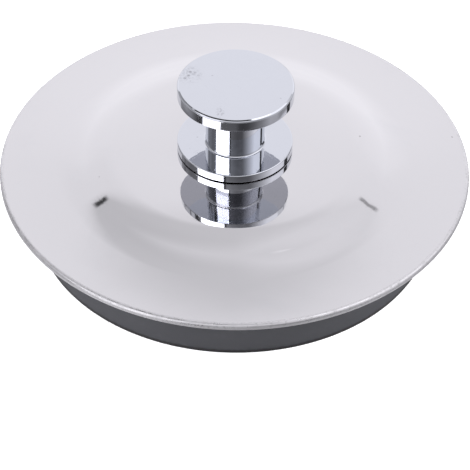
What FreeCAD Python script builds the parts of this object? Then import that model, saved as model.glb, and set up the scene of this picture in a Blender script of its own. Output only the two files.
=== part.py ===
import FreeCAD, Part
import math
import os
import Sketcher

# A drain stopper for a kitchen sink: a pressed and polished cover plate, a
# spool-shaped knob with a gasket under its foot, a moulded rubber plug below, and
# one screw with its two washers that holds them together.
#
# The frame: +Z is up, the axis of the stopper is Z, and the origin is the middle
# of the plug's lower face, which is what the stopper stands on. Millimetres.

SIZES = [
    # cover plate: top face, from the middle to the edge
    ("plate_radius", 42.5, "outside of the cover plate"),
    ("crown_height", 16.28, "top of the flat seat in the middle"),
    ("seat_radius", 10.6, "flat seat under the knob"),
    ("dome_radius", 155.5, "gentle dome around the seat"),
    ("dome_angle", 4, "slope where the dome ends, degrees"),
    ("shoulder_radius", 18.65, "upper bend of the step"),
    ("step_angle", 22.2, "steepest slope of the step, degrees"),
    ("sweep_radius", 18.1, "lower bend of the step"),
    ("sweep_angle", 5.5, "slope where the step runs out into the rim, degrees"),
    ("rim_angle", 1.9, "slope of the hollow rim at its edge, degrees"),
    ("sheet_gauge", 0.6, "thickness of the sheet"),
    ("hem_radius", 0.72, "round of the folded edge"),
    ("hem_length", 3.6, "width of the fold under the rim"),
    ("screw_passage", 2.7, "radius of the screw holes in the plate and the plug"),
    # knob
    ("foot_radius", 10.4, "foot flange"),
    ("foot_thickness", 1.55, "foot flange"),
    ("foot_gap", 0.2, "thin gap between the foot flange and the plate"),
    ("recess_radius", 8.85, "shallow recess under the foot that takes the gasket"),
    ("neck_radius", 5.3, "neck between the flanges"),
    ("neck_length", 10.1, "neck between the flanges"),
    ("cap_radius", 10.4, "top flange"),
    ("cap_thickness", 2.35, "top flange"),
    ("bevel_run", 0.36, "bevelled upper edge of the top flange, inwards"),
    ("bevel_drop", 0.26, "bevelled upper edge of the top flange, downwards"),
    ("bevel_round", 0.42, "lower edge of the bevel"),
    ("bevel_edge", 0.1, "upper edge of the bevel"),
    ("under_round", 0.14, "lower edge of the top flange"),
    ("foot_edge_round", 0.25, "upper edge of the foot flange"),
    ("foot_under_round", 0.1, "lower edge of the foot flange"),
    ("neck_fillet", 0.45, "corners of the neck"),
    ("bore_radius", 2.5, "blind tapped hole, at its outer diameter"),
    ("bore_depth", 9.1, "full depth of the tapped hole"),
    ("drill_cone", 1.5, "drill point above the tapped hole"),
    # gasket in the recess under the knob
    ("gasket_radius", 8.6, "outside of the gasket"),
    ("gasket_hole", 2.65, "hole of the gasket"),
    ("gasket_gauge", 0.5, "thickness of the gasket"),
    # rubber plug
    ("seal_radius", 36.45, "outside of the plug"),
    ("seal_gap", 0.15, "room between the plug and the plate's bends"),
    ("land_radius", 10, "raised land that is clamped to the plate"),
    ("web_thickness", 2.5, "web in the clamped middle"),
    ("web_flat_radius", 13, "flat middle of the web's lower face"),
    ("web_bend_radius", 23, "where the web's lower face turns down"),
    ("web_bend_drop", 0.55, "drop to that bend"),
    ("web_outer_radius", 29.5, "where the web's lower face turns flat again"),
    ("web_drop", 2.6, "drop of the web's lower face, middle to skirt"),
    ("skirt_top_radius", 32, "inside of the skirt at the web"),
    ("skirt_mouth_radius", 32.6, "inside of the skirt at its mouth"),
    ("web_fillet", 1.6, "corner of the web and the skirt"),
    ("web_round", 4, "soft bends of the web"),
    ("foot_round", 0.3, "outer lower edge of the skirt"),
    ("mouth_round", 0.9, "inner lower edge of the skirt"),
    # washers
    ("washer_radius", 10, "wide flat washer"),
    ("washer_hole", 2.65, "wide flat washer"),
    ("washer_gauge", 1.2, "wide flat washer"),
    ("washer_round", 0.3, "punched edge of the flat washer"),
    ("spring_radius", 4.6, "split spring washer"),
    ("spring_hole", 2.6, "split spring washer"),
    ("spring_gauge", 1.2, "split spring washer, closed"),
    ("spring_split", 0.8, "gap of the split"),
    # screw M5 x 12, pan head
    ("shank_radius", 2.45, "threaded shank, with running room in the tapped hole"),
    ("shank_length", 12, "length under the head"),
    ("shank_tip", 0.5, "chamfer of the tip"),
    ("head_radius", 4.75, "pan head"),
    ("head_height", 3.7, "pan head"),
    ("head_side", 1.4, "straight side of the head"),
    ("head_flat", 2.6, "flat middle of the head"),
    ("head_round", 3.2, "crown of the head"),
    ("recess_span", 2.45, "half span of the cross recess"),
    ("recess_width", 0.6, "half width of the cross recess"),
    ("recess_depth", 2.3, "depth of the cross recess"),
]

doc = FreeCAD.newDocument("drain_stopper")
sheet = doc.addObject("Spreadsheet::Sheet", "Sizes")
for row, (alias, value, note) in enumerate(SIZES, start=1):
    sheet.set("A%d" % row, alias)
    sheet.set("B%d" % row, str(value))
    sheet.setAlias("B%d" % row, alias)
    sheet.set("C%d" % row, note)
doc.recompute()


class Size:
    """A number together with the expression that gives it from the sheet."""

    def __init__(self, value, text):
        self.value, self.text = float(value), text

    def __add__(self, other):
        other = as_size(other)
        return Size(self.value + other.value, "(%s + %s)" % (self.text, other.text))

    def __sub__(self, other):
        other = as_size(other)
        return Size(self.value - other.value, "(%s - %s)" % (self.text, other.text))

    def __mul__(self, other):
        other = as_size(other)
        return Size(self.value * other.value, "%s * %s" % (self.text, other.text))

    def __truediv__(self, other):
        other = as_size(other)
        return Size(self.value / other.value, "(%s / (%s))" % (self.text, other.text))

    def __neg__(self):
        return Size(-self.value, "(0 - %s)" % self.text)

    def __rsub__(self, other):
        return as_size(other) - self


def as_size(number):
    return number if isinstance(number, Size) else Size(number, repr(number))


def size(alias):
    return Size(sheet.get(alias), "Sizes.%s" % alias)


def sine(angle):
    return Size(math.sin(math.radians(angle.value)), "sin(%s * 1 deg)" % angle.text)


def cosine(angle):
    return Size(math.cos(math.radians(angle.value)), "cos(%s * 1 deg)" % angle.text)


def root(number):
    return Size(math.sqrt(number.value), "sqrt(%s)" % number.text)


ZERO = Size(0, "0")


def new_body(name):
    body = doc.addObject("PartDesign::Body", name)
    body.Label = name
    return body


def new_sketch(body, name, role):
    sketch = body.newObject("Sketcher::SketchObject", name)
    plane = next(f for f in body.Origin.OriginFeatures if f.Role == role)
    sketch.AttachmentSupport = (plane, [""])
    sketch.MapMode = "FlatFace"
    return sketch


def bind(sketch, constraints):
    """Adds the constraints, each with the expression that drives it, if any."""
    first = sketch.ConstraintCount
    sketch.addConstraint([c for c, _ in constraints])
    for n, (_, text) in enumerate(constraints):
        if text:
            sketch.setExpression("Constraints[%d]" % (first + n), text)


def locate(geometry, point, x, y):
    """The constraints that put a point of a sketch at x, y from its origin."""
    found = []
    for kind, axis, at in (("DistanceX", -2, x), ("DistanceY", -1, y)):
        if abs(at.value) < 1e-9:
            found.append((Sketcher.Constraint("PointOnObject", geometry, point, axis), ""))
        elif at.value > 0:
            found.append((Sketcher.Constraint(kind, -1, 1, geometry, point, at.value), at.text))
        else:
            found.append(
                (Sketcher.Constraint(kind, geometry, point, -1, 1, -at.value), (-at).text)
            )
    return found


def outline(sketch, corners):
    """A closed outline. Each corner is x, y and the edge to the next corner: None
    for a straight one, or a radius and +1 where it bends left, -1 where right."""
    count = len(corners)
    edges, ends, constraints = [], [], []
    for n, (x, y, bend) in enumerate(corners):
        p = FreeCAD.Vector(x.value, y.value, 0)
        after = corners[(n + 1) % count]
        q = FreeCAD.Vector(after[0].value, after[1].value, 0)
        if bend is None:
            edges.append(Part.LineSegment(p, q))
            ends.append((1, 2))
            continue
        radius, side = bend
        chord = q - p
        left = FreeCAD.Vector(-chord.y, chord.x, 0).normalize()
        rise = math.sqrt(radius.value**2 - (chord.Length / 2) ** 2)
        centre = (p + q) * 0.5 + left * (side * rise)
        start, stop = (p, q) if side > 0 else (q, p)
        angles = [math.atan2(v.y - centre.y, v.x - centre.x) for v in (start, stop)]
        if angles[1] < angles[0]:
            angles[1] += 2 * math.pi
        circle = Part.Circle(centre, FreeCAD.Vector(0, 0, 1), radius.value)
        edges.append(Part.ArcOfCircle(circle, angles[0], angles[1]))
        ends.append((1, 2) if side > 0 else (2, 1))
    sketch.addGeometry(edges, False)
    for n, (x, y, bend) in enumerate(corners):
        before = (n - 1) % count
        constraints.append(
            (Sketcher.Constraint("Coincident", before, ends[before][1], n, ends[n][0]), "")
        )
        constraints += locate(n, ends[n][0], x, y)
        if bend is not None:
            constraints.append((Sketcher.Constraint("Radius", n, bend[0].value), bend[0].text))
    bind(sketch, constraints)


def ring_outline(sketch, radii):
    """Circles about the sketch's origin, one inside the other."""
    axis = FreeCAD.Vector(0, 0, 1)
    sketch.addGeometry([Part.Circle(FreeCAD.Vector(), axis, r.value) for r in radii], False)
    constraints = []
    for n, r in enumerate(radii):
        constraints.append((Sketcher.Constraint("Coincident", n, 3, -1, 1), ""))
        constraints.append((Sketcher.Constraint("Radius", n, r.value), r.text))
    bind(sketch, constraints)


def turned(body, name, corners):
    """A solid turned about Z, from its half section."""
    sketch = new_sketch(body, name + "_section", "XZ_Plane")
    outline(sketch, corners)
    feature = body.newObject("PartDesign::Revolution", name)
    feature.Profile = sketch
    feature.ReferenceAxis = (sketch, ["V_Axis"])
    feature.Angle = 360
    doc.recompute()
    return feature


def punched(body, name, radii, thickness):
    """A flat ring, from its lower face up."""
    sketch = new_sketch(body, name + "_face", "XY_Plane")
    ring_outline(sketch, radii)
    feature = body.newObject("PartDesign::Pad", name)
    feature.Profile = sketch
    feature.setExpression("Length", thickness.text)
    doc.recompute()
    return feature


def rings(feature, wanted):
    """The names of the round edges with these radii and heights."""
    names = []
    for radius, height in wanted:
        hits = [
            "Edge%d" % n
            for n, edge in enumerate(feature.Shape.Edges, start=1)
            if isinstance(edge.Curve, Part.Circle)
            and abs(edge.Curve.Radius - radius.value) < 1e-4
            and abs(edge.Curve.Center.z - height.value) < 1e-4
        ]
        if len(hits) != 1:
            raise RuntimeError("%s: %d edges at %s" % (feature.Name, len(hits), radius.text))
        names += hits
    return names


def dressed(body, kind, name, base, edges, amount):
    """Rounds (Fillet, Radius) or bevels (Chamfer, Size) some round edges."""
    feature = body.newObject("PartDesign::" + kind, name)
    feature.Base = (base, rings(base, edges))
    feature.setExpression("Radius" if kind == "Fillet" else "Size", amount.text)
    doc.recompute()
    return feature


def cut_check(base, feature):
    if not feature.Shape.Volume < base.Shape.Volume - 0.1:
        raise RuntimeError("%s cuts nothing" % feature.Name)


# ---- the cover plate's top line, shared by the plate and the plug below it ----

gauge, gap = size("sheet_gauge"), size("seal_gap")
crown, seat = size("crown_height"), size("seat_radius")
dome, shoulder, sweep = size("dome_radius"), size("shoulder_radius"), size("sweep_radius")
slopes = [size(a + "_angle") for a in ("dome", "step", "sweep", "rim")]
sin_dome, sin_step, sin_sweep, sin_rim = [sine(a) for a in slopes]
cos_dome, cos_step, cos_sweep, cos_rim = [cosine(a) for a in slopes]

dome_end = (seat + dome * sin_dome, crown - dome + dome * cos_dome)
step_mid = (
    dome_end[0] + shoulder * sin_step - shoulder * sin_dome,
    dome_end[1] - shoulder * cos_dome + shoulder * cos_step,
)
step_end = (
    step_mid[0] + sweep * sin_step - sweep * sin_sweep,
    step_mid[1] - sweep * cos_sweep + sweep * cos_step,
)

# the rim is a slightly hollow arc that flattens out towards the folded edge
plate_radius, hem = size("plate_radius"), size("hem_radius")
hem_x = plate_radius - hem
rim_end_x = hem_x + hem * sin_rim
rim = (rim_end_x - step_end[0]) / (sin_sweep - sin_rim)
rim_end = (rim_end_x, step_end[1] - rim * cos_rim + rim * cos_sweep)
rim_centre = (step_end[0] + rim * sin_sweep, step_end[1] + rim * cos_sweep)


def below(point, sin_slope, cos_slope, depth):
    """The point at this depth under the plate's top line, square to it."""
    return point[0] - depth * sin_slope, point[1] - depth * cos_slope


# ---- cover plate ----

hem_mid = (hem_x, rim_end[1] - hem * cos_rim)
hem_out = (hem_mid[0] + hem * cos_rim, hem_mid[1] - hem * sin_rim)
hem_low = (hem_mid[0] - hem * sin_rim, hem_mid[1] - hem * cos_rim)
fold = size("hem_length")
sin_fold = sin_rim + fold / rim
cos_fold = root(1 - sin_fold * sin_fold)
fold_line = (rim_centre[0] - rim * sin_fold, rim_centre[1] - rim * cos_fold)
fold_low = below(fold_line, sin_fold, cos_fold, hem + hem)
fold_top = below(fold_line, sin_fold, cos_fold, gauge)
passage = size("screw_passage")

under_rim = below(step_end, sin_sweep, cos_sweep, gauge)
under_step = below(step_mid, sin_step, cos_step, gauge)
under_dome = below(dome_end, sin_dome, cos_dome, gauge)

cover_plate = new_body("cover_plate")
turned(
    cover_plate,
    "pressed_disc",
    [
        (passage, crown, None),
        (seat, crown, (dome, -1)),
        (*dome_end, (shoulder, -1)),
        (*step_mid, (sweep, +1)),
        (*step_end, (rim, +1)),
        (*rim_end, (hem, -1)),
        (*hem_out, (hem, -1)),
        (*hem_low, (rim + hem + hem, -1)),
        (*fold_low, None),
        (*fold_top, (rim + gauge, -1)),
        (*under_rim, (sweep + gauge, -1)),
        (*under_step, (shoulder - gauge, +1)),
        (*under_dome, (dome - gauge, +1)),
        (seat, crown - gauge, None),
        (passage, crown - gauge, None),
    ],
)

# ---- knob, in its own frame: the lower face of its foot is at Z = 0 ----

foot_r, neck_r, cap_r = size("foot_radius"), size("neck_radius"), size("cap_radius")
foot_top = size("foot_thickness")
cap_low = foot_top + size("neck_length")
knob_top = cap_low + size("cap_thickness")
bore, bore_end = size("bore_radius"), size("bore_depth")
recess_r, recess = size("recess_radius"), size("gasket_gauge") - size("foot_gap")
bevel_low, bevel_in = knob_top - size("bevel_drop"), cap_r - size("bevel_run")

knob = new_body("knob")
spool = turned(
    knob,
    "spool",
    [
        (bore, recess, None),
        (recess_r, recess, None),
        (recess_r, ZERO, None),
        (foot_r, ZERO, None),
        (foot_r, foot_top, None),
        (neck_r, foot_top, None),
        (neck_r, cap_low, None),
        (cap_r, cap_low, None),
        (cap_r, bevel_low, None),
        (bevel_in, knob_top, None),
        (ZERO, knob_top, None),
        (ZERO, bore_end + size("drill_cone"), None),
        (bore, bore_end, None),
    ],
)
soft = dressed(
    knob, "Fillet", "neck_corners", spool,
    [(neck_r, foot_top), (neck_r, cap_low)], size("neck_fillet"),
)
for edge_name, edge, amount in (
    ("bevel_lower_edge", (cap_r, bevel_low), "bevel_round"),
    ("bevel_upper_edge", (bevel_in, knob_top), "bevel_edge"),
    ("cap_lower_edge", (cap_r, cap_low), "under_round"),
    ("foot_upper_edge", (foot_r, foot_top), "foot_edge_round"),
    ("foot_lower_edge", (foot_r, ZERO), "foot_under_round"),
):
    soft = dressed(knob, "Fillet", edge_name, soft, [edge], size(amount))

# ---- gasket under the knob ----

knob_gasket = new_body("knob_gasket")
punched(
    knob_gasket, "gasket_ring",
    [size("gasket_radius"), size("gasket_hole")], size("gasket_gauge"),
)

# ---- rubber plug: a web under the plate and a skirt down to the foot ----

seal_r = size("seal_radius")
land = size("land_radius")
web_top = crown - gauge
web_low = web_top - size("web_thickness")
skirt_web = web_low - size("web_drop")
deep = gauge + gap
top_dome = below(dome_end, sin_dome, cos_dome, deep)
top_step = below(step_mid, sin_step, cos_step, deep)
top_rim = below(step_end, sin_sweep, cos_sweep, deep)
edge_run = rim_centre[0] - seal_r
edge_rise = root((rim + deep) * (rim + deep) - edge_run * edge_run)
top_edge = (seal_r, rim_centre[1] - edge_rise)
mouth = size("skirt_mouth_radius")

rubber_seal = new_body("rubber_seal")
plug = turned(
    rubber_seal,
    "plug",
    [
        (passage, web_top, None),
        (land, web_top, None),
        (land, web_top - gap, None),
        (seat, web_top - gap, (dome - deep, -1)),
        (*top_dome, (shoulder - deep, -1)),
        (*top_step, (sweep + deep, +1)),
        (*top_rim, (rim + deep, +1)),
        (*top_edge, None),
        (seal_r, ZERO, None),
        (mouth, ZERO, None),
        (size("skirt_top_radius"), skirt_web, None),
        (size("web_outer_radius"), skirt_web, None),
        (size("web_bend_radius"), web_low - size("web_bend_drop"), None),
        (size("web_flat_radius"), web_low, None),
        (passage, web_low, None),
    ],
)
plug_web = dressed(
    rubber_seal, "Fillet", "web_bends", plug,
    [
        (size("web_outer_radius"), skirt_web),
        (size("web_bend_radius"), web_low - size("web_bend_drop")),
    ],
    size("web_round"),
)
plug_corner = dressed(
    rubber_seal, "Fillet", "web_corner", plug_web,
    [(size("skirt_top_radius"), skirt_web)], size("web_fillet"),
)
plug_foot = dressed(
    rubber_seal, "Fillet", "foot_edge", plug_corner, [(seal_r, ZERO)], size("foot_round")
)
dressed(
    rubber_seal, "Fillet", "mouth_edge", plug_foot, [(mouth, ZERO)], size("mouth_round")
)

# ---- wide flat washer against the web ----

washer_r, washer_gauge = size("washer_radius"), size("washer_gauge")
clamp_washer = new_body("clamp_washer")
disc = punched(
    clamp_washer, "washer_disc", [washer_r, size("washer_hole")], washer_gauge
)
dressed(
    clamp_washer, "Fillet", "punched_edge", disc, [(washer_r, ZERO)], size("washer_round")
)

# ---- split spring washer under the screw's head ----

spring_r, spring_gauge = size("spring_radius"), size("spring_gauge")
half_split = size("spring_split") * 0.5
spring_washer = new_body("spring_washer")
coil = punched(
    spring_washer, "spring_ring", [spring_r, size("spring_hole")], spring_gauge
)
split_sketch = new_sketch(spring_washer, "split_face", "XY_Plane")
outline(
    split_sketch,
    [
        (size("spring_hole") * 0.5, -half_split, None),
        (spring_r + 1, -half_split, None),
        (spring_r + 1, half_split, None),
        (size("spring_hole") * 0.5, half_split, None),
    ],
)
split = spring_washer.newObject("PartDesign::Pocket", "split")
split.Profile = split_sketch
split.Type = "ThroughAll"
split.Reversed = True
doc.recompute()
cut_check(coil, split)

# ---- screw, in its own frame: its head's face is at Z = 0, its tip is up ----

head_r, head_top = size("head_radius"), size("head_height")
shank_r = size("shank_radius")
tip = head_top + size("shank_length")
clamp_screw = new_body("clamp_screw")
blank = turned(
    clamp_screw,
    "screw_blank",
    [
        (ZERO, ZERO, None),
        (size("head_flat"), ZERO, (size("head_round"), +1)),
        (head_r, head_top - size("head_side"), None),
        (head_r, head_top, None),
        (shank_r, head_top, None),
        (shank_r, tip - size("shank_tip"), None),
        (shank_r - size("shank_tip"), tip, None),
        (ZERO, tip, None),
    ],
)
span, width = size("recess_span"), size("recess_width")
cross_sketch = new_sketch(clamp_screw, "cross_face", "XY_Plane")
outline(
    cross_sketch,
    [
        (span, -width, None), (span, width, None), (width, width, None),
        (width, span, None), (-width, span, None), (-width, width, None),
        (-span, width, None), (-span, -width, None), (-width, -width, None),
        (-width, -span, None), (width, -span, None), (width, -width, None),
    ],
)
cross = clamp_screw.newObject("PartDesign::Pocket", "cross_recess")
cross.Profile = cross_sketch
cross.Type = "Length"
cross.setExpression("Length", size("recess_depth").text)
cross.Reversed = True
doc.recompute()
cut_check(blank, cross)

# ---- the pieces in their places along the axis ----

HEIGHTS = {
    cover_plate: ZERO,
    rubber_seal: ZERO,
    knob_gasket: crown,
    knob: crown + size("foot_gap"),
    clamp_washer: web_low - washer_gauge,
    spring_washer: web_low - washer_gauge - spring_gauge,
    clamp_screw: web_low - washer_gauge - spring_gauge - head_top,
}
for body, height in HEIGHTS.items():
    body.Placement = FreeCAD.Placement(
        FreeCAD.Vector(0, 0, height.value), FreeCAD.Rotation()
    )
    if height is not ZERO:
        body.setExpression("Placement.Base.z", height.text)
doc.recompute()

# ---- every object sound, then one file for each piece ----

for item in doc.Objects:
    if "Invalid" in item.State or "Error" in item.State:
        raise RuntimeError("%s: %s" % (item.Label, item.State))
for body in HEIGHTS:
    shape = body.Shape
    if shape.isNull() or not shape.isValid() or len(shape.Solids) != 1:
        raise RuntimeError("%s is not one sound solid" % body.Label)

os.makedirs("parts", exist_ok=True)
for body in HEIGHTS:
    box = body.Shape.optimalBoundingBox()
    print(
        "%-14s %9.2f mm3  r %6.3f  z %7.3f to %7.3f"
        % (body.Label, body.Shape.Volume, box.XMax, box.ZMin, box.ZMax)
    )
    body.Shape.exportStep("parts/%s.step" % body.Label)
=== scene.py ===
import math

import bmesh
import bpy
from mathutils import Matrix, Vector


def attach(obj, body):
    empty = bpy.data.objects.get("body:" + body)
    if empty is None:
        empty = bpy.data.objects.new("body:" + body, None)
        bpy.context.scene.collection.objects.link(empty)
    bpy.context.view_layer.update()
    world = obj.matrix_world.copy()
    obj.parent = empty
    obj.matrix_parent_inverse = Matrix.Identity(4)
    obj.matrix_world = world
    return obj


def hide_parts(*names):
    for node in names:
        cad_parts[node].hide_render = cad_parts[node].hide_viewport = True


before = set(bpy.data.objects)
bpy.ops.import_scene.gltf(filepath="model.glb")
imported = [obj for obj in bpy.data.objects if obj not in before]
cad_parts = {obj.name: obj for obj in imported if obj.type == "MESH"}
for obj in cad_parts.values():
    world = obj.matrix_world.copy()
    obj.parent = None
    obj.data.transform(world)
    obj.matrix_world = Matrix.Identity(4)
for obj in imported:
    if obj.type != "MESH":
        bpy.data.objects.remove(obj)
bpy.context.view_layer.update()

scene = bpy.context.scene
MM = 0.001
TURN = 2 * math.pi


# ---------------------------------------------------------------- half sections
# A section is a list of spans. A span is a list of (r, z, nr, nz): points in
# millimetres with the outward normal there, so that flats stay flat and bends stay
# smooth, whatever the size of the faces beside them.


def line(p, q, steps=1):
    """A straight span from p to q, with the solid on its right."""
    dr, dz = q[0] - p[0], q[1] - p[1]
    size = math.hypot(dr, dz)
    n = (-dz / size, dr / size)
    return [
        (p[0] + dr * i / steps, p[1] + dz * i / steps, n[0], n[1])
        for i in range(steps + 1)
    ]


def arc(p, q, radius, side, steps):
    """A bend from p to q with the solid on its right; side is +1 where it turns left."""
    mr, mz = (p[0] + q[0]) / 2, (p[1] + q[1]) / 2
    dr, dz = q[0] - p[0], q[1] - p[1]
    chord = math.hypot(dr, dz)
    rise = math.sqrt(max(radius * radius - chord * chord / 4, 0.0))
    cr, cz = mr - dz / chord * rise * side, mz + dr / chord * rise * side
    a = math.atan2(p[1] - cz, p[0] - cr)
    b = math.atan2(q[1] - cz, q[0] - cr)
    turn = (b - a) % TURN if side > 0 else -((a - b) % TURN)
    span = []
    for i in range(steps + 1):
        t = a + turn * i / steps
        c, s = math.cos(t), math.sin(t)
        sign = -1 if side > 0 else 1
        span.append((cr + radius * c, cz + radius * s, sign * c, sign * s))
    return span


def rounded(corners, closed=True):
    """Straight spans through corners (r, z, radius), with a bend at each corner that
    has a radius. The solid is on the right of the path."""
    count = len(corners)
    cut = []
    for i, (r, z, radius) in enumerate(corners):
        here = Vector((r, z))
        if radius <= 0 or (not closed and i in (0, count - 1)):
            cut.append((here, here, 0, 0))
            continue
        back = (Vector(corners[i - 1][:2]) - here).normalized()
        on = (Vector(corners[(i + 1) % count][:2]) - here).normalized()
        half = back.angle(on) / 2
        run = radius / math.tan(half)
        side = 1 if (-back).x * on.y - (-back).y * on.x > 0 else -1
        cut.append((here + back * run, here + on * run, radius, side))
    spans = []
    for i in range(count if closed else count - 1):
        start, stop = cut[i][1], cut[(i + 1) % count][0]
        if (stop - start).length > 1e-6:
            spans.append(line(start, stop))
        _, _, radius, side = cut[(i + 1) % count]
        if radius > 0:
            a, b = cut[(i + 1) % count][:2]
            spans.append(arc(a, b, radius, side, 12 if radius < 0.7 else 16))
    return spans


def lathe(name, spans, segments):
    """Turns a section about Z into a closed mesh with exact normals."""
    verts, faces, normals = [], [], []
    known = {}

    def ring(r, z):
        key = (round(r, 6), round(z, 6))
        if key not in known:
            first = len(verts)
            if r < 1e-9:
                verts.append((0, 0, z * MM))
            else:
                for k in range(segments):
                    a = TURN * k / segments
                    verts.append((r * MM * math.cos(a), r * MM * math.sin(a), z * MM))
            known[key] = first
        return known[key]

    for span in spans:
        for (r0, z0, n0r, n0z), (r1, z1, n1r, n1z) in zip(span, span[1:]):
            if math.hypot(r1 - r0, z1 - z0) < 1e-7:
                continue
            i0, i1 = ring(r0, z0), ring(r1, z1)
            for k in range(segments):
                m = (k + 1) % segments
                a, b = TURN * k / segments, TURN * (k + 1) / segments
                ca, sa, cb, sb = math.cos(a), math.sin(a), math.cos(b), math.sin(b)
                p0a, p0b = (n0r * ca, n0r * sa, n0z), (n0r * cb, n0r * sb, n0z)
                p1a, p1b = (n1r * ca, n1r * sa, n1z), (n1r * cb, n1r * sb, n1z)
                if r0 < 1e-9:
                    faces.append((i0, i1 + k, i1 + m))
                    normals += [p0a, p1a, p1b]
                elif r1 < 1e-9:
                    faces.append((i0 + k, i1, i0 + m))
                    normals += [p0a, p1a, p0b]
                else:
                    faces.append((i0 + k, i1 + k, i1 + m, i0 + m))
                    normals += [p0a, p1a, p1b, p0b]
    mesh = bpy.data.meshes.new(name)
    mesh.from_pydata(verts, [], faces)
    mesh.polygons.foreach_set("use_smooth", [True] * len(mesh.polygons))
    mesh.update()
    mesh.normals_split_custom_set(normals)
    obj = bpy.data.objects.new(name, mesh)
    scene.collection.objects.link(obj)
    return obj


# ---------------------------------------------------------------- node helpers


class Tree:
    """Short calls for building a shader."""

    def __init__(self, owner):
        owner.use_nodes = True
        self.tree = owner.node_tree
        self.tree.nodes.clear()

    def node(self, kind, **settings):
        n = self.tree.nodes.new(kind)
        for key, value in settings.items():
            setattr(n, key, value)
        return n

    def link(self, a, b):
        self.tree.links.new(a, b)

    def put(self, socket, value):
        if isinstance(value, bpy.types.NodeSocket):
            self.link(value, socket)
        else:
            socket.default_value = value

    def math(self, operation, *values, clamp=False):
        n = self.node("ShaderNodeMath", operation=operation, use_clamp=clamp)
        for i, v in enumerate(values):
            self.put(n.inputs[i], v)
        return n.outputs[0]

    def vec(self, operation, *values):
        n = self.node("ShaderNodeVectorMath", operation=operation)
        for i, v in enumerate(values):
            self.put(n.inputs[i], v)
        return n.outputs["Value"] if operation in ("LENGTH", "DISTANCE", "DOT_PRODUCT") else n.outputs[0]

    def ease(self, value, low, high, to_low=0.0, to_high=1.0):
        n = self.node("ShaderNodeMapRange", interpolation_type="SMOOTHSTEP")
        self.put(n.inputs[0], value)
        for i, v in zip((1, 2, 3, 4), (low, high, to_low, to_high)):
            self.put(n.inputs[i], v)
        return n.outputs[0]

    def ramp(self, value, stops, interpolation="LINEAR"):
        n = self.node("ShaderNodeValToRGB")
        n.color_ramp.interpolation = interpolation
        elements = n.color_ramp.elements
        elements[0].position, elements[1].position = stops[0][0], stops[-1][0]
        for at, _ in stops[1:-1]:
            elements.new(at)
        for e, (_, colour) in zip(elements, stops):
            if not hasattr(colour, "__len__"):
                colour = (colour, colour, colour)
            e.color = (*colour, 1.0)
        self.put(n.inputs[0], value)
        return n.outputs[0]

    def noise(self, vector, scale, detail=3.0, rough=0.5, distortion=0.0):
        n = self.node("ShaderNodeTexNoise")
        self.link(vector, n.inputs["Vector"])
        n.inputs["Scale"].default_value = scale
        n.inputs["Detail"].default_value = detail
        n.inputs["Roughness"].default_value = rough
        n.inputs["Distortion"].default_value = distortion
        return n.outputs[0]

    def voronoi(self, vector, scale, feature="F1", randomness=1.0):
        n = self.node("ShaderNodeTexVoronoi", feature=feature)
        self.link(vector, n.inputs["Vector"])
        n.inputs["Scale"].default_value = scale
        n.inputs["Randomness"].default_value = randomness
        return n

    def mix(self, factor, a, b):
        n = self.node("ShaderNodeMix", data_type="RGBA")
        self.put(n.inputs[0], factor)
        for socket, v in ((n.inputs[6], a), (n.inputs[7], b)):
            self.put(socket, v if isinstance(v, bpy.types.NodeSocket) else (*v, 1.0))
        return n.outputs[2]

    def place(self, scale=(1, 1, 1), turn=(0, 0, 0), shift=(0, 0, 0)):
        """Object coordinates in millimetres, turned and stretched."""
        where = self.node("ShaderNodeTexCoord").outputs["Object"]
        n = self.node("ShaderNodeMapping")
        n.inputs["Location"].default_value = shift
        n.inputs["Rotation"].default_value = turn
        n.inputs["Scale"].default_value = tuple(1000 * s for s in scale)
        self.link(where, n.inputs["Vector"])
        return n.outputs[0]

    def bump(self, height, strength, distance, normal=None):
        n = self.node("ShaderNodeBump")
        n.inputs["Strength"].default_value = strength
        n.inputs["Distance"].default_value = distance
        self.link(height, n.inputs["Height"])
        if normal is not None:
            self.link(normal, n.inputs["Normal"])
        return n.outputs[0]

    def finish(self, shader):
        out = self.node("ShaderNodeOutputMaterial")
        self.link(shader.outputs[0], out.inputs["Surface"])


def material(name):
    m = bpy.data.materials.new(name)
    return m, Tree(m)


def hairlines(t, turn, length, fine, keep):
    """Thin straight scratches in one direction, as a 0 to 1 mask."""
    where = t.vec("MULTIPLY", t.place(turn=(0, 0, turn)), (1.0 / length, fine, fine))
    return t.ease(t.noise(where, 1.0, detail=1.0, rough=0.4), keep, keep + 0.035)


# ---------------------------------------------------------------- materials


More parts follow.
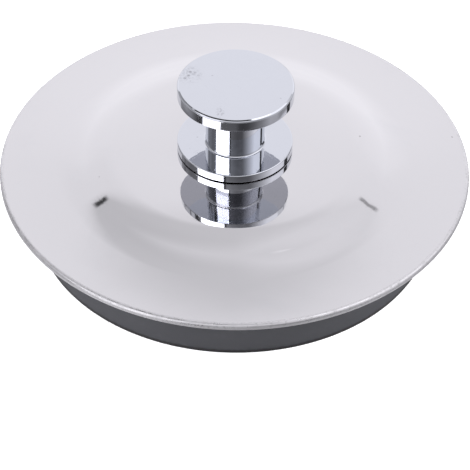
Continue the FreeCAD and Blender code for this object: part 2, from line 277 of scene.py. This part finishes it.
def polished_stainless():
    m, t = material("polished_stainless")
    b = t.node("ShaderNodeBsdfPrincipled")
    b.inputs["Metallic"].default_value = 1.0
    mm = t.place()
    smudge = t.ease(t.noise(mm, 0.07, detail=4, rough=0.6, distortion=0.6), 0.5, 0.78)
    haze = t.noise(mm, 0.9, detail=3)
    scratch = t.math(
        "MAXIMUM",
        hairlines(t, 0.5, 14, 9, 0.70),
        t.math("MAXIMUM", hairlines(t, 1.9, 11, 11, 0.71), hairlines(t, 2.7, 17, 8, 0.71)),
    )
    speck_cell = t.voronoi(mm, 0.13)
    speck = t.math(
        "MULTIPLY",
        t.ease(speck_cell.outputs["Distance"], 0.028, 0.014),
        t.ease(t.noise(mm, 0.31, detail=1), 0.52, 0.56),
    )
    rough = t.math("MULTIPLY_ADD", smudge, 0.035, 0.016)
    rough = t.math("MULTIPLY_ADD", haze, 0.008, rough)
    rough = t.math("MULTIPLY_ADD", scratch, 0.03, rough)
    rough = t.math("MULTIPLY_ADD", speck, 0.4, rough)
    flat = t.vec("LENGTH", t.vec("MULTIPLY", mm, (1, 1, 0)))
    edge = t.ease(flat, 41.6, 41.95)
    marks = t.ease(t.noise(t.place(scale=(1, 1, 2.5)), 0.55, detail=5, rough=0.65), 0.42, 0.66)
    rough = t.math("MULTIPLY_ADD", edge, t.math("MULTIPLY_ADD", marks, 0.2, 0.25), rough)
    nicks = t.ease(t.noise(mm, 1.6, detail=4, rough=0.7), 0.5, 0.68)
    nicks = t.math("MULTIPLY", edge, t.math("MULTIPLY", nicks, t.math("MULTIPLY_ADD", marks, 0.6, 0.25)))
    colour = t.mix(smudge, (0.656, 0.649, 0.659), (0.642, 0.637, 0.649))
    colour = t.mix(nicks, colour, (0.43, 0.43, 0.425))
    colour = t.mix(t.math("MULTIPLY", scratch, 0.10), colour, (0.55, 0.55, 0.56))
    colour = t.mix(t.math("MULTIPLY", speck, 0.7), colour, (0.25, 0.24, 0.23))
    wave = t.noise(mm, 0.11, detail=1)
    peel = t.noise(mm, 1.4, detail=2)
    height = t.math("MULTIPLY_ADD", peel, 0.03, wave)
    normal = t.bump(height, 0.18, 0.00012)
    normal = t.bump(scratch, 0.015, 0.00002, normal)
    t.link(colour, b.inputs["Base Color"])
    t.link(rough, b.inputs["Roughness"])
    t.link(normal, b.inputs["Normal"])
    t.finish(b)
    return m


def chrome_plate():
    m, t = material("chrome_plate")
    b = t.node("ShaderNodeBsdfPrincipled")
    b.inputs["Metallic"].default_value = 1.0
    mm = t.place()
    haze = t.noise(mm, 0.5, detail=4, rough=0.6)
    pits = t.voronoi(mm, 1.15)
    patch = t.ease(t.vec("DISTANCE", mm, (-8.4, 2.6, 30.48)), 3.4, 0.8)
    cloud = t.ease(t.noise(mm, 1.7, detail=4, rough=0.65), 0.46, 0.66)
    stain = t.math("MULTIPLY", patch, t.ease(pits.outputs["Distance"], 0.55, 0.15))
    stain = t.math("MULTIPLY", patch, t.math("MAXIMUM", stain, t.math("MULTIPLY", cloud, 0.55)))
    loose = t.math(
        "MULTIPLY",
        t.ease(t.voronoi(mm, 0.36).outputs["Distance"], 0.085, 0.045),
        t.ease(t.noise(mm, 0.23, detail=1), 0.5, 0.56),
    )
    stain = t.math("MAXIMUM", stain, t.math("MULTIPLY", loose, 0.45))
    rub = t.ease(t.vec("DISTANCE", t.place(scale=(1.2, 0.6, 1)), (-3.15, -4.77, 30.48)), 1.2, 0.3)
    stain = t.math("MAXIMUM", stain, t.math("MULTIPLY", rub, cloud))
    scratch = t.math("MAXIMUM", hairlines(t, 0.9, 5, 13, 0.71), hairlines(t, 2.3, 4, 15, 0.72))
    rough = t.math("MULTIPLY_ADD", haze, 0.018, 0.006)
    rough = t.math("MULTIPLY_ADD", stain, 0.35, rough)
    rough = t.math("MULTIPLY_ADD", scratch, 0.08, rough)
    colour = t.mix(haze, (0.608, 0.626, 0.668), (0.622, 0.64, 0.682))
    colour = t.mix(t.math("MULTIPLY", stain, 0.6), colour, (0.26, 0.26, 0.28))
    colour = t.mix(t.math("MULTIPLY", scratch, 0.12), colour, (0.45, 0.45, 0.47))
    normal = t.bump(t.noise(mm, 0.6, detail=1), 0.10, 0.00006)
    normal = t.bump(scratch, 0.06, 0.00002, normal)
    t.link(colour, b.inputs["Base Color"])
    t.link(rough, b.inputs["Roughness"])
    t.link(normal, b.inputs["Normal"])
    t.finish(b)
    return m


def seal_rubber():
    m, t = material("seal_rubber")
    b = t.node("ShaderNodeBsdfPrincipled")
    b.inputs["IOR"].default_value = 1.52
    mm = t.place()
    cloud = t.noise(mm, 0.09, detail=5, rough=0.6)
    grain = t.noise(mm, 5.0, detail=3, rough=0.6)
    bloom = t.ease(t.noise(mm, 0.45, detail=5, rough=0.7), 0.52, 0.75)
    height = t.node("ShaderNodeSeparateXYZ")
    t.link(mm, height.inputs[0])
    # painted shade: the lowest millimetre or so of the rubber, ragged with noise, is darkened almost to black along
    # the bottom edge
    painted_low_shade = t.ease(t.math("MULTIPLY_ADD", t.noise(mm, 1.1, detail=4), 0.5, height.outputs[2]), 1.3, 0.95)
    colour = t.mix(cloud, (0.0258, 0.0265, 0.0312), (0.0345, 0.0353, 0.0405))
    colour = t.mix(t.math("MULTIPLY", bloom, 0.22), colour, (0.085, 0.085, 0.093))
    # mix in the painted shade along the bottom edge
    colour = t.mix(t.math("MULTIPLY", painted_low_shade, 0.92), colour, (0.003, 0.003, 0.0035))
    rough = t.math("MULTIPLY_ADD", cloud, 0.16, 0.42)
    rough = t.math("MULTIPLY_ADD", bloom, 0.12, rough)
    normal = t.bump(grain, 0.25, 0.00004)
    normal = t.bump(cloud, 0.2, 0.0004, normal)
    t.link(colour, b.inputs["Base Color"])
    t.link(rough, b.inputs["Roughness"])
    t.link(normal, b.inputs["Normal"])
    t.finish(b)
    return m


def gasket_rubber():
    m, t = material("gasket_rubber")
    b = t.node("ShaderNodeBsdfPrincipled")
    mm = t.place()
    grain = t.noise(mm, 3.0, detail=4)
    colour = t.mix(grain, (0.012, 0.012, 0.013), (0.024, 0.024, 0.025))
    t.link(colour, b.inputs["Base Color"])
    t.link(t.math("MULTIPLY_ADD", grain, 0.2, 0.5), b.inputs["Roughness"])
    t.link(t.bump(grain, 0.3, 0.00003), b.inputs["Normal"])
    t.finish(b)
    return m


def stainless_hardware():
    m, t = material("stainless_hardware")
    b = t.node("ShaderNodeBsdfPrincipled")
    b.inputs["Metallic"].default_value = 1.0
    mm = t.place()
    cloud = t.noise(mm, 0.5, detail=4)
    fine = t.noise(mm, 7.0, detail=3)
    colour = t.mix(cloud, (0.56, 0.555, 0.545), (0.68, 0.675, 0.66))
    rough = t.math("MULTIPLY_ADD", cloud, 0.14, 0.20)
    rough = t.math("MULTIPLY_ADD", fine, 0.06, rough)
    t.link(colour, b.inputs["Base Color"])
    t.link(rough, b.inputs["Roughness"])
    t.link(t.bump(fine, 0.2, 0.00003), b.inputs["Normal"])
    t.finish(b)
    return m


FINISHES = {
    "polished_stainless": polished_stainless(),
    "chrome_plate": chrome_plate(),
    "seal_rubber": seal_rubber(),
    "gasket_rubber": gasket_rubber(),
    "stainless_hardware": stainless_hardware(),
}


def install(piece, node, body, finish):
    """The piece stands for a node, moves with its body and takes a finish."""
    piece.data.materials.clear()
    piece.data.materials.append(FINISHES[finish])
    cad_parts[node].data.materials.clear()
    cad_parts[node].data.materials.append(FINISHES[finish])
    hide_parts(node)
    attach(piece, body)


# ---------------------------------------------------------------- cover plate

SEAT, CROWN, GAUGE = 10.6, 16.28, 0.6
DOME, SHOULDER, SWEEP = 155.5, 18.65, 18.1
SLOPES = [math.radians(a) for a in (4.0, 22.2, 5.5, 1.9)]
PLATE, HEM, FOLD, PASSAGE = 42.5, 0.72, 3.6, 2.7

(S1, S2, S3, S4), (C1, C2, C3, C4) = [[f(a) for a in SLOPES] for f in (math.sin, math.cos)]
dome_end = (SEAT + DOME * S1, CROWN - DOME + DOME * C1)
step_mid = (dome_end[0] + SHOULDER * (S2 - S1), dome_end[1] - SHOULDER * (C1 - C2))
step_end = (step_mid[0] + SWEEP * (S2 - S3), step_mid[1] - SWEEP * (C3 - C2))
hem_x = PLATE - HEM
RIM = (hem_x + HEM * S4 - step_end[0]) / (S3 - S4)
rim_centre = (step_end[0] + RIM * S3, step_end[1] + RIM * C3)


def on_rim(r, depth):
    """The point of the hollow rim at this radius and this depth under its top face."""
    return (r, rim_centre[1] - math.sqrt((RIM + depth) ** 2 - (rim_centre[0] - r) ** 2))


def below(p, s, c, depth):
    return (p[0] - depth * s, p[1] - depth * c)


rim_end = on_rim(hem_x + HEM * S4, 0.0)
hem_mid = (hem_x, rim_end[1] - HEM * C4)
hem_out = (hem_mid[0] + HEM * C4, hem_mid[1] - HEM * S4)
hem_low = (hem_mid[0] - HEM * S4, hem_mid[1] - HEM * C4)
S5 = S4 + FOLD / RIM
C5 = math.sqrt(1 - S5 * S5)
fold_line = (rim_centre[0] - RIM * S5, rim_centre[1] - RIM * C5)
fold_low, fold_top = below(fold_line, S5, C5, 2 * HEM), below(fold_line, S5, C5, GAUGE)


def plate_line(depth):
    """The dome and the step at this depth under the top face, from the middle out."""
    d, s, w = DOME - depth, SHOULDER - depth, SWEEP + depth
    a, b = (SEAT, CROWN - depth), below(dome_end, S1, C1, depth)
    c, e = below(step_mid, S2, C2, depth), below(step_end, S3, C3, depth)
    return [arc(a, b, d, -1, 24), arc(b, c, s, -1, 24), arc(c, e, w, 1, 24)]


def backwards(spans):
    return [[(r, z, -nr, -nz) for r, z, nr, nz in reversed(span)] for span in reversed(spans)]


under_rim = below(step_end, S3, C3, GAUGE)
plate = lathe(
    "cover_plate_skin",
    [line((PASSAGE, CROWN), (SEAT, CROWN), 4)]
    + plate_line(0.0)
    + [arc(step_end, rim_end, RIM, 1, 18)]
    + [arc(rim_end, hem_out, HEM, -1, 14), arc(hem_out, hem_low, HEM, -1, 14)]
    + [arc(hem_low, fold_low, RIM + 2 * HEM, -1, 5), line(fold_low, fold_top)]
    + [arc(fold_top, under_rim, RIM + GAUGE, -1, 8)]
    + backwards(plate_line(GAUGE))
    + [line((SEAT, CROWN - GAUGE), (PASSAGE, CROWN - GAUGE), 3)]
    + [line((PASSAGE, CROWN - GAUGE), (PASSAGE, CROWN))],
    320,
)
install(plate, "cover_plate", "stopper", "polished_stainless")

# ---------------------------------------------------------------- knob

FOOT, NECK, CAP = 10.4, 5.3, 10.4
KNOB, RECESS = CROWN + 0.2, CROWN + 0.5
foot_top, cap_low, knob_top = KNOB + 1.55, KNOB + 11.65, KNOB + 14.0
BEVEL_RUN, BEVEL_DROP = 0.36, 0.26
BORE = 2.5

knob_section = [
    (0, knob_top, 0),
    (CAP - BEVEL_RUN, knob_top, 0.1),
    (CAP, knob_top - BEVEL_DROP, 0.42),
    (CAP, cap_low, 0.14),
    (NECK, cap_low, 0.45),
    (NECK, foot_top, 0.45),
    (FOOT, foot_top, 0.25),
    (FOOT, KNOB, 0.1),
    (8.85, KNOB, 0),
    (8.85, RECESS, 0),
    (BORE, RECESS, 0),
    (BORE, KNOB + 9.1, 0),
    (0, KNOB + 10.6, 0),
]
knob = lathe("knob_spool", rounded(knob_section, closed=False), 256)
install(knob, "knob", "knob", "chrome_plate")

# ---------------------------------------------------------------- gasket

gasket = lathe(
    "knob_gasket_ring",
    rounded(
        [(2.65, RECESS, 0), (8.6, RECESS, 0.1), (8.6, CROWN, 0.1), (2.65, CROWN, 0)]
    ),
    160,
)
install(gasket, "knob_gasket", "gasket", "gasket_rubber")

# ---------------------------------------------------------------- rubber plug

SEAL, GAP = 36.45, 0.15
DEEP = GAUGE + GAP
web_top = CROWN - GAUGE
web_low = web_top - 2.5
skirt_web = web_low - 2.6
top_rim, top_near = below(step_end, S3, C3, DEEP), on_rim(SEAL - 0.6, DEEP)
lower = rounded(
    [
        (*top_near, 0),
        (*on_rim(SEAL, DEEP), 0.2),
        (SEAL, 0, 0.3),
        (32.6, 0, 0.9),
        (32.0, skirt_web, 1.6),
        (29.5, skirt_web, 2.6),
        (23.0, web_low - 0.55, 4.0),
        (13.0, web_low, 4.0),
        (PASSAGE, web_low, 0),
    ],
    closed=False,
)
seal = lathe(
    "rubber_plug",
    [
        line((PASSAGE, web_top), (10.0, web_top)),
        line((10.0, web_top), (10.0, web_top - GAP)),
        line((10.0, web_top - GAP), (SEAT, web_top - GAP)),
    ]
    + plate_line(DEEP)
    + [arc(top_rim, top_near, RIM + DEEP, 1, 8)]
    + lower
    + [line((PASSAGE, web_low), (PASSAGE, web_top))],
    288,
)
install(seal, "rubber_seal", "stopper", "seal_rubber")

# ---------------------------------------------------------------- washers and screw

washer_low = web_low - 1.2
washer = lathe(
    "clamp_washer_disc",
    rounded(
        [(2.65, web_low, 0), (10.0, web_low, 0.06), (10.0, washer_low, 0.3), (2.65, washer_low, 0.12)]
    ),
    128,
)
install(washer, "clamp_washer", "stopper", "stainless_hardware")


def split_ring(name, inner, outer, low, high, gap, soft):
    """A spring washer: a ring of rounded section, cut through at a slant."""
    section = []
    corners = [(inner, low), (outer, low), (outer, high), (inner, high)]
    for i, (r, z) in enumerate(corners):
        cr = r + (soft if r == inner else -soft)
        cz = z + (soft if z == low else -soft)
        start = (math.pi, 1.5 * math.pi, 0, 0.5 * math.pi)[i]
        for j in range(5):
            a = start + j * math.pi / 8
            section.append((cr + soft * math.cos(a), cz + soft * math.sin(a)))
    count, steps = len(section), 120
    bm = bmesh.new()
    rows = []
    for k in range(steps + 1):
        row = []
        for r, z in section:
            slant = (z - (low + high) / 2) * 0.25
            half = math.asin(min(0.95, (gap / 2) / r))
            lean = slant / r
            a = half + lean + (TURN - 2 * half) * k / steps
            row.append(bm.verts.new((r * MM * math.cos(a), r * MM * math.sin(a), z * MM)))
        rows.append(row)
    for k in range(steps):
        for j in range(count):
            m = (j + 1) % count
            bm.faces.new((rows[k][j], rows[k + 1][j], rows[k + 1][m], rows[k][m]))
    bm.faces.new(rows[0])
    bm.faces.new(list(reversed(rows[-1])))
    bmesh.ops.recalc_face_normals(bm, faces=bm.faces)
    mesh = bpy.data.meshes.new(name)
    bm.to_mesh(mesh)
    bm.free()
    mesh.polygons.foreach_set("use_smooth", [True] * len(mesh.polygons))
    mesh.set_sharp_from_angle(angle=math.radians(35))
    obj = bpy.data.objects.new(name, mesh)
    scene.collection.objects.link(obj)
    return obj


spring_low = washer_low - 1.2
spring = split_ring("spring_washer_ring", 2.6, 4.6, spring_low, washer_low, 0.8, 0.12)
install(spring, "spring_washer", "stopper", "stainless_hardware")


def machine_screw(name, head_face, head_top, tip, pitch=0.8):
    """A pan head screw, head down, with a real helical thread and a cross recess."""
    crest, root, around = 2.44, 2.02, 96
    rows = [(0.0, head_face, None), (1.2, head_face, None), (2.5, head_face, None)]
    for r, z, _, _ in arc((2.6, head_face), (4.75, head_face + 2.3), 3.2, 1, 14):
        rows.append((r, z, None))
    for r, z in ((4.75, head_face + 2.9), (4.75, head_top - 0.25), (4.68, head_top - 0.07), (4.5, head_top)):
        rows.append((r, z, None))
    rows += [(3.0, head_top, None), (2.62, head_top, None), (2.5, head_top + 0.06, None), (2.44, head_top + 0.2, None)]
    z = head_top + 0.3
    while z < tip - 0.02:
        rows.append((None, z, "thread"))
        z += pitch / 14
    rows += [(1.9, tip, None), (0.9, tip, None), (0.0, tip, None)]
    bm = bmesh.new()
    rings = []
    for r, z, kind in rows:
        if kind is None and r == 0.0:
            rings.append([bm.verts.new((0, 0, z * MM))])
            continue
        ring = []
        for k in range(around):
            a = TURN * k / around
            radius = r
            if kind == "thread":
                phase = ((z / pitch) - k / around) % 1.0
                wedge = min(1.0, max(0.0, 1.25 - abs(phase - 0.5) * 3.2))
                depth = min(1.0, (z - head_top - 0.25) / pitch, 1.0)
                depth = max(0.0, depth)
                radius = crest - (crest - root) * (1 - wedge) * depth
                radius = min(radius, 1.9 + (tip - z) * 1.0)
            ring.append(bm.verts.new((radius * MM * math.cos(a), radius * MM * math.sin(a), z * MM)))
        rings.append(ring)
    for low, high in zip(rings, rings[1:]):
        for k in range(around):
            m = (k + 1) % around
            if len(low) == 1:
                bm.faces.new((low[0], high[m], high[k]))
            elif len(high) == 1:
                bm.faces.new((low[k], low[m], high[0]))
            else:
                bm.faces.new((low[k], low[m], high[m], high[k]))
    bmesh.ops.recalc_face_normals(bm, faces=bm.faces)
    mesh = bpy.data.meshes.new(name)
    bm.to_mesh(mesh)
    bm.free()
    obj = bpy.data.objects.new(name, mesh)
    scene.collection.objects.link(obj)

    # the driver's cross: two crossed, tapering wings with a pointed floor
    bm = bmesh.new()
    for turn in (0, math.pi / 2):
        ends = []
        for z, span, width in ((head_face - 0.4, 2.75, 0.68), (head_face + 1.5, 1.5, 0.46), (head_face + 2.3, 0.5, 0.38)):
            ends.append(
                [
                    bm.verts.new(
                        Matrix.Rotation(turn, 3, "Z") @ Vector((x * span * MM, y * width * MM, z * MM))
                    )
                    for x, y in ((-1, -1), (1, -1), (1, 1), (-1, 1))
                ]
            )
        for a, b in zip(ends, ends[1:]):
            for k in range(4):
                bm.faces.new((a[k], a[(k + 1) % 4], b[(k + 1) % 4], b[k]))
        bm.faces.new(list(reversed(ends[0])))
        bm.faces.new(ends[-1])
    bmesh.ops.recalc_face_normals(bm, faces=bm.faces)
    cutter_mesh = bpy.data.meshes.new(name + "_cross")
    bm.to_mesh(cutter_mesh)
    bm.free()
    cutter = bpy.data.objects.new(name + "_cross", cutter_mesh)
    scene.collection.objects.link(cutter)
    cut = obj.modifiers.new("cross", "BOOLEAN")
    cut.operation = "DIFFERENCE"
    cut.solver = "EXACT"
    cut.use_self = True
    cut.object = cutter
    bpy.context.view_layer.update()
    result = bpy.data.meshes.new_from_object(obj.evaluated_get(bpy.context.evaluated_depsgraph_get()))
    obj.modifiers.clear()
    obj.data = result
    bpy.data.objects.remove(cutter)
    result.polygons.foreach_set("use_smooth", [True] * len(result.polygons))
    result.set_sharp_from_angle(angle=math.radians(38))
    return obj


head_top = spring_low
screw = machine_screw("clamp_screw_m5", head_top - 3.7, head_top, head_top + 12.0)
install(screw, "clamp_screw", "stopper", "stainless_hardware")

# ---------------------------------------------------------------- floor


def floor_finish():
    m, t = material("studio_floor")
    b = t.node("ShaderNodeBsdfPrincipled")
    b.inputs["Base Color"].default_value = (0.9, 0.9, 0.9, 1)
    b.inputs["Roughness"].default_value = 0.45
    b.inputs["Specular IOR Level"].default_value = 0.2
    b.inputs["Emission Color"].default_value = (1, 1, 1, 1)
    b.inputs["Emission Strength"].default_value = 0.5
    t.finish(b)
    return m


bm = bmesh.new()
bmesh.ops.create_circle(bm, cap_ends=True, radius=3.0, segments=96)
floor_mesh = bpy.data.meshes.new("floor")
bm.to_mesh(floor_mesh)
bm.free()
floor = bpy.data.objects.new("floor", floor_mesh)
floor.data.materials.append(floor_finish())
scene.collection.objects.link(floor)
floor.visible_glossy = False

# ---------------------------------------------------------------- studio light


def studio_world():
    """A soft studio seen in the polished metal: a pale wall behind that fades up into a
    greyer ceiling, a large soft box at the front left, a pale wall on the right, and
    darkness around and above the camera."""
    w = bpy.data.worlds.new("studio")
    t = Tree(w)
    way = t.node("ShaderNodeTexCoord").outputs["Generated"]
    xyz = t.node("ShaderNodeSeparateXYZ")
    t.link(way, xyz.inputs[0])
    x, y, z = xyz.outputs
    # degrees: 0 is towards the camera, positive to the right
    azimuth = t.math("MULTIPLY", t.math("ARCTAN2", x, t.math("MULTIPLY", y, -1.0)), 180 / math.pi)
    height = t.math("MULTIPLY", t.math("ARCSINE", z), 180 / math.pi)
    # degrees: 0 is straight behind, positive to the left
    behind = t.math("MULTIPLY", t.math("ARCTAN2", t.math("MULTIPLY", x, -1.0), y), 180 / math.pi)
    aside = t.math("ABSOLUTE", behind)
    # degrees: the slant of the plane through the left-right line, 90 is straight up
    slant = t.math("MULTIPLY", t.math("ARCTAN2", z, y), 180 / math.pi)
    MOST = 2.0

    def around(stops):
        share = t.math("MULTIPLY_ADD", azimuth, 1 / 360, 0.5)
        return t.ramp(share, [(a / 360 + 0.5, v / MOST) for a, v in stops])

    def window(value, low, high, soft):
        return t.math(
            "MULTIPLY", t.ease(value, low - soft, low + soft), t.ease(value, high + soft, high - soft)
        )

    # the wall behind, and the greyer ceiling above it
    wall = t.ramp(
        t.math("DIVIDE", slant, 90.0, clamp=True),
        [
            (a / 90, v / MOST)
            for a, v in (
                (0, 1.134), (5, 1.145), (12, 1.17), (20, 1.138), (28, 1.104), (33, 1.088), (36, 1.076),
                (40, 1.042), (46, 1.017), (56, 1.0),
            )
        ],
    )
    wall = t.math("MULTIPLY", wall, t.ease(behind, 6, 30, 1.0, 0.962))
    roof = t.ramp(
        t.math("MULTIPLY_ADD", behind, 1 / 180, 0.5),
        [(0.18, 0.955 / MOST), (0.35, 0.925 / MOST), (0.5, 0.77 / MOST), (0.66, 0.73 / MOST), (0.75, 0.705 / MOST), (1.0, 0.72 / MOST)],
    )
    roof = t.mix(t.ease(slant, 68, 89), roof, (0.865 / MOST,) * 3)
    start = t.math("MULTIPLY_ADD", t.math("MINIMUM", aside, 45.0), 7.5 / 45, 44.0)
    stop = t.math("ADD", start, t.ease(aside, 25, 45, 10.0, 5.0))
    back = t.mix(t.ease(slant, start, stop), wall, roof)

    # the sides and the camera's side, level with the table and higher up
    level = around(
        [
            (-180, 0.45), (-132, 0.48), (-108, 0.52), (-92, 0.36), (-84, 0.22), (-76, 0.09), (-65, 0.08),
            (-64, 1.0), (-28, 1.0), (-27, 0.2), (-10, 0.19), (1, 0.17), (8, 0.09), (14, 0.075), (24, 0.1),
            (36, 0.2), (52, 0.38), (70, 0.72), (86, 0.7),
            (96, 0.5), (115.5, 0.6), (116.5, 0.08), (130.5, 0.08), (131.5, 1.05), (180, 1.05),
        ]
    )
    upper = around(
        [
            (-180, 0.38), (-132, 0.42), (-108, 0.29), (-98, 0.22), (-86, 0.25), (-79, 0.24), (-78, 1.0),
            (-23, 1.0), (-21.5, 0.05), (-17.5, 0.05), (-15.5, 0.22), (-4, 0.17), (10, 0.13), (28, 0.14), (47, 0.5), (63, 0.89), (82, 1.38), (110, 1.36), (116.5, 1.3),
            (117.5, 0.05), (130.5, 0.05), (131.5, 1.05), (180, 1.05),
        ]
    )
    lit = t.mix(t.ease(height, 11, 26), t.ease(azimuth, -65, -64), t.ease(azimuth, -79, -78))
    unlit = t.mix(t.ease(height, 11, 26), t.ease(azimuth, -27, -28), t.ease(azimuth, -21, -23))
    box = t.math("MULTIPLY", lit, unlit)
    side = t.mix(t.ease(height, 11, 26), level, upper)
    glow = t.ease(height, 30, 38, 2.0, 4.6)
    side = t.math("MULTIPLY", side, t.math("MULTIPLY_ADD", box, glow, 1.0))
    veil = t.math("MULTIPLY", window(azimuth, -24, 30, 4), t.ease(height, 38.5, 42.0, 0.0, 0.8))
    side = t.math("MULTIPLY", side, t.math("ADD", veil, 1.0))
    # the first polished face that meets the sides sees them paler and more even
    once = t.math("COMPARE", t.node("ShaderNodeLightPath").outputs["Glossy Depth"], 1.0, 0.5)
    reach = t.ease(height, 32, 36, 104.0, 80.0)
    reached = t.ease(t.math("ABSOLUTE", azimuth), t.math("ADD", reach, 8.0), reach)
    once = t.math("MULTIPLY", once, t.math("MAXIMUM", reached, t.ease(azimuth, 88, 96)))
    even = t.math("MAXIMUM", side, t.ease(height, 8, 32, 0.2 / MOST, 0.86 / MOST))
    even = t.math("MAXIMUM", even, t.ease(azimuth, 100, 116, 0.0, 0.75 / MOST))
    even = t.math("MINIMUM", even, 1.35 / MOST)
    side = t.mix(once, side, even)
    bright = t.math(
        "MULTIPLY",
        t.math("MULTIPLY", t.ease(azimuth, 38, 48), t.ease(y, 0.13, 0.05)),
        t.ease(height, 80, 70),
    )
    high = t.mix(bright, roof, (1.8 / MOST,) * 3)
    overhead = t.vec("DOT_PRODUCT", way, (-0.574, -0.819, 0.0))
    overhead = t.math("MULTIPLY", t.ease(overhead, 0.03, 0.09), t.ease(y, 0.12, 0.05))
    brink = t.ease(t.math("ABSOLUTE", azimuth), 20, 85, 60.0, 44.0)
    brink = t.ease(height, t.math("SUBTRACT", brink, 2.5), t.math("ADD", brink, 2.5))
    overhead = t.math("MULTIPLY", overhead, t.math("MULTIPLY", brink, t.ease(height, 82, 73)))
    high = t.mix(overhead, high, (0.08 / MOST,) * 3)
    top = t.ease(t.math("ABSOLUTE", azimuth), 112, 118, 50.0, 44.0)
    top = t.math("SUBTRACT", top, t.math("MULTIPLY", window(azimuth, -110, -87, 2), 8.0))
    side = t.mix(t.ease(height, top, t.math("ADD", top, 2.3)), side, high)
    # a dark edge low on the left
    low = t.math("MULTIPLY", window(azimuth, -122, -66, 8), window(height, -20, -6, 3))
    side = t.mix(t.math("MULTIPLY", low, 0.85), side, (0.06 / MOST,) * 3)

    rear = t.math("MAXIMUM", t.ease(azimuth, -131.5, -132.5), t.ease(azimuth, 130.5, 131.5))
    room = t.mix(rear, side, back)

    # two thin dark bars high up at the back, the right one fainter
    def bar(square, along, near, far, middle, half, soft, strength):
        across = t.math("SUBTRACT", t.vec("DOT_PRODUCT", way, square), middle)
        across = t.ease(t.math("ABSOLUTE", across), half + soft, half - soft)
        return t.math("MULTIPLY", across, t.ease(along, near, far, 0.0, strength))

    upward = t.ease(y, 0.3, 0.4)
    bars = t.math(
        "MAXIMUM",
        bar((0.273, -0.694, 0.667), x, -0.42, -0.49, 0.001, 0.015, 0.009, 1.0),
        bar((-0.257, -0.692, 0.675), x, 0.385, 0.45, 0.003, 0.011, 0.006, 0.6),
    )
    room = t.mix(t.math("MULTIPLY", bars, upward), room, (0.07 / MOST,) * 3)

    # the table, as the polished edge mirrors it
    table = around(
        [
            (-180, 0.83), (-150, 0.74), (-120, 0.57), (-80, 0.66), (-40, 0.62), (0, 0.42), (40, 0.46),
            (80, 0.55), (120, 0.48), (150, 0.7), (180, 0.83),
        ]
    )
    table = t.math("MULTIPLY", table, t.math("MULTIPLY_ADD", window(height, -64, -46, 4), 0.35, 1.0))
    shade = t.math("MULTIPLY", t.ease(height, -60, -66), t.ease(t.math("ABSOLUTE", azimuth), 70, 50))
    table = t.math("MULTIPLY", table, t.math("MULTIPLY_ADD", shade, -0.5, 1.0))
    room = t.mix(t.ease(height, -2, -12), room, table)
    tint = t.node("ShaderNodeMix", data_type="RGBA", blend_type="MULTIPLY")
    tint.inputs[0].default_value = 1.0
    t.link(room, tint.inputs[6])
    tint.inputs[7].default_value = (1.0, 0.99, 1.04, 1)
    seen = t.node("ShaderNodeLightPath").outputs["Is Camera Ray"]
    colour = t.mix(seen, tint.outputs[2], (0.88 / MOST, 0.88 / MOST, 0.89 / MOST))
    back_node = t.node("ShaderNodeBackground")
    back_node.inputs["Strength"].default_value = MOST * 1.053
    t.link(colour, back_node.inputs["Color"])
    out = t.node("ShaderNodeOutputWorld")
    t.link(back_node.outputs[0], out.inputs["Surface"])
    scene.world = w


studio_world()


def soft_light(name, at, towards, size, power):
    """A large soft lamp that the polished faces don't mirror."""
    data = bpy.data.lights.new(name, "AREA")
    data.shape = "DISK"
    data.size = size
    data.energy = power
    obj = bpy.data.objects.new(name, data)
    obj.location = at
    obj.rotation_euler = (Vector(towards) - Vector(at)).to_track_quat("-Z", "Y").to_euler()
    obj.visible_glossy = False
    obj.visible_camera = False
    scene.collection.objects.link(obj)
    return obj


soft_light("top_soft", (-0.15, -0.2, 0.9), (0, 0, 0), 0.8, 6.0)
soft_light("front_soft", (-0.45, -0.75, 0.35), (0, 0, 0.01), 0.5, 3.0)
soft_light("right_soft", (0.8, 0.06, 0.28), (0, 0, 0.01), 0.5, 8.5)

# ---------------------------------------------------------------- camera


def photograph_camera(distance, elevation, focal, u0, v0, roll, aim_z):
    """A camera at this distance and elevation in front of the axis, turned so that the
    point on the axis at aim_z falls on the picture's pixel u0, v0 of 470 by 470."""
    e, roll = math.radians(elevation), math.radians(roll)
    seat = Vector((0, -math.cos(e), math.sin(e))) * distance
    forward = -seat.normalized()
    right = Vector((1, 0, 0))
    up = right.cross(forward)
    a, b = math.atan((u0 - 235) / focal), math.atan((v0 - 235) / focal)
    forward2 = forward * math.cos(b) + up * math.sin(b)
    up2 = right.cross(forward2)
    forward3 = (forward2 * math.cos(a) - right * math.sin(a)).normalized()
    right3 = forward3.cross(up2).normalized()
    up3 = right3.cross(forward3)
    c, s = math.cos(roll), math.sin(roll)
    right4, up4 = right3 * c + up3 * s, up3 * c - right3 * s
    data = bpy.data.cameras.new("camera")
    data.sensor_width = 36
    data.sensor_fit = "HORIZONTAL"
    data.lens = focal / 470 * 36
    data.clip_start = 0.01
    camera = bpy.data.objects.new("camera", data)
    turn = Matrix((right4, up4, -forward3)).transposed().to_4x4()
    camera.matrix_world = Matrix.Translation(seat + Vector((0, 0, aim_z))) @ turn
    scene.collection.objects.link(camera)
    scene.camera = camera


photograph_camera(0.400, 40.322, 2201.0, 233.5, 164.35, 0.91, 0.01197)

scene.view_settings.view_transform = "Standard"
scene.view_settings.look = "None"
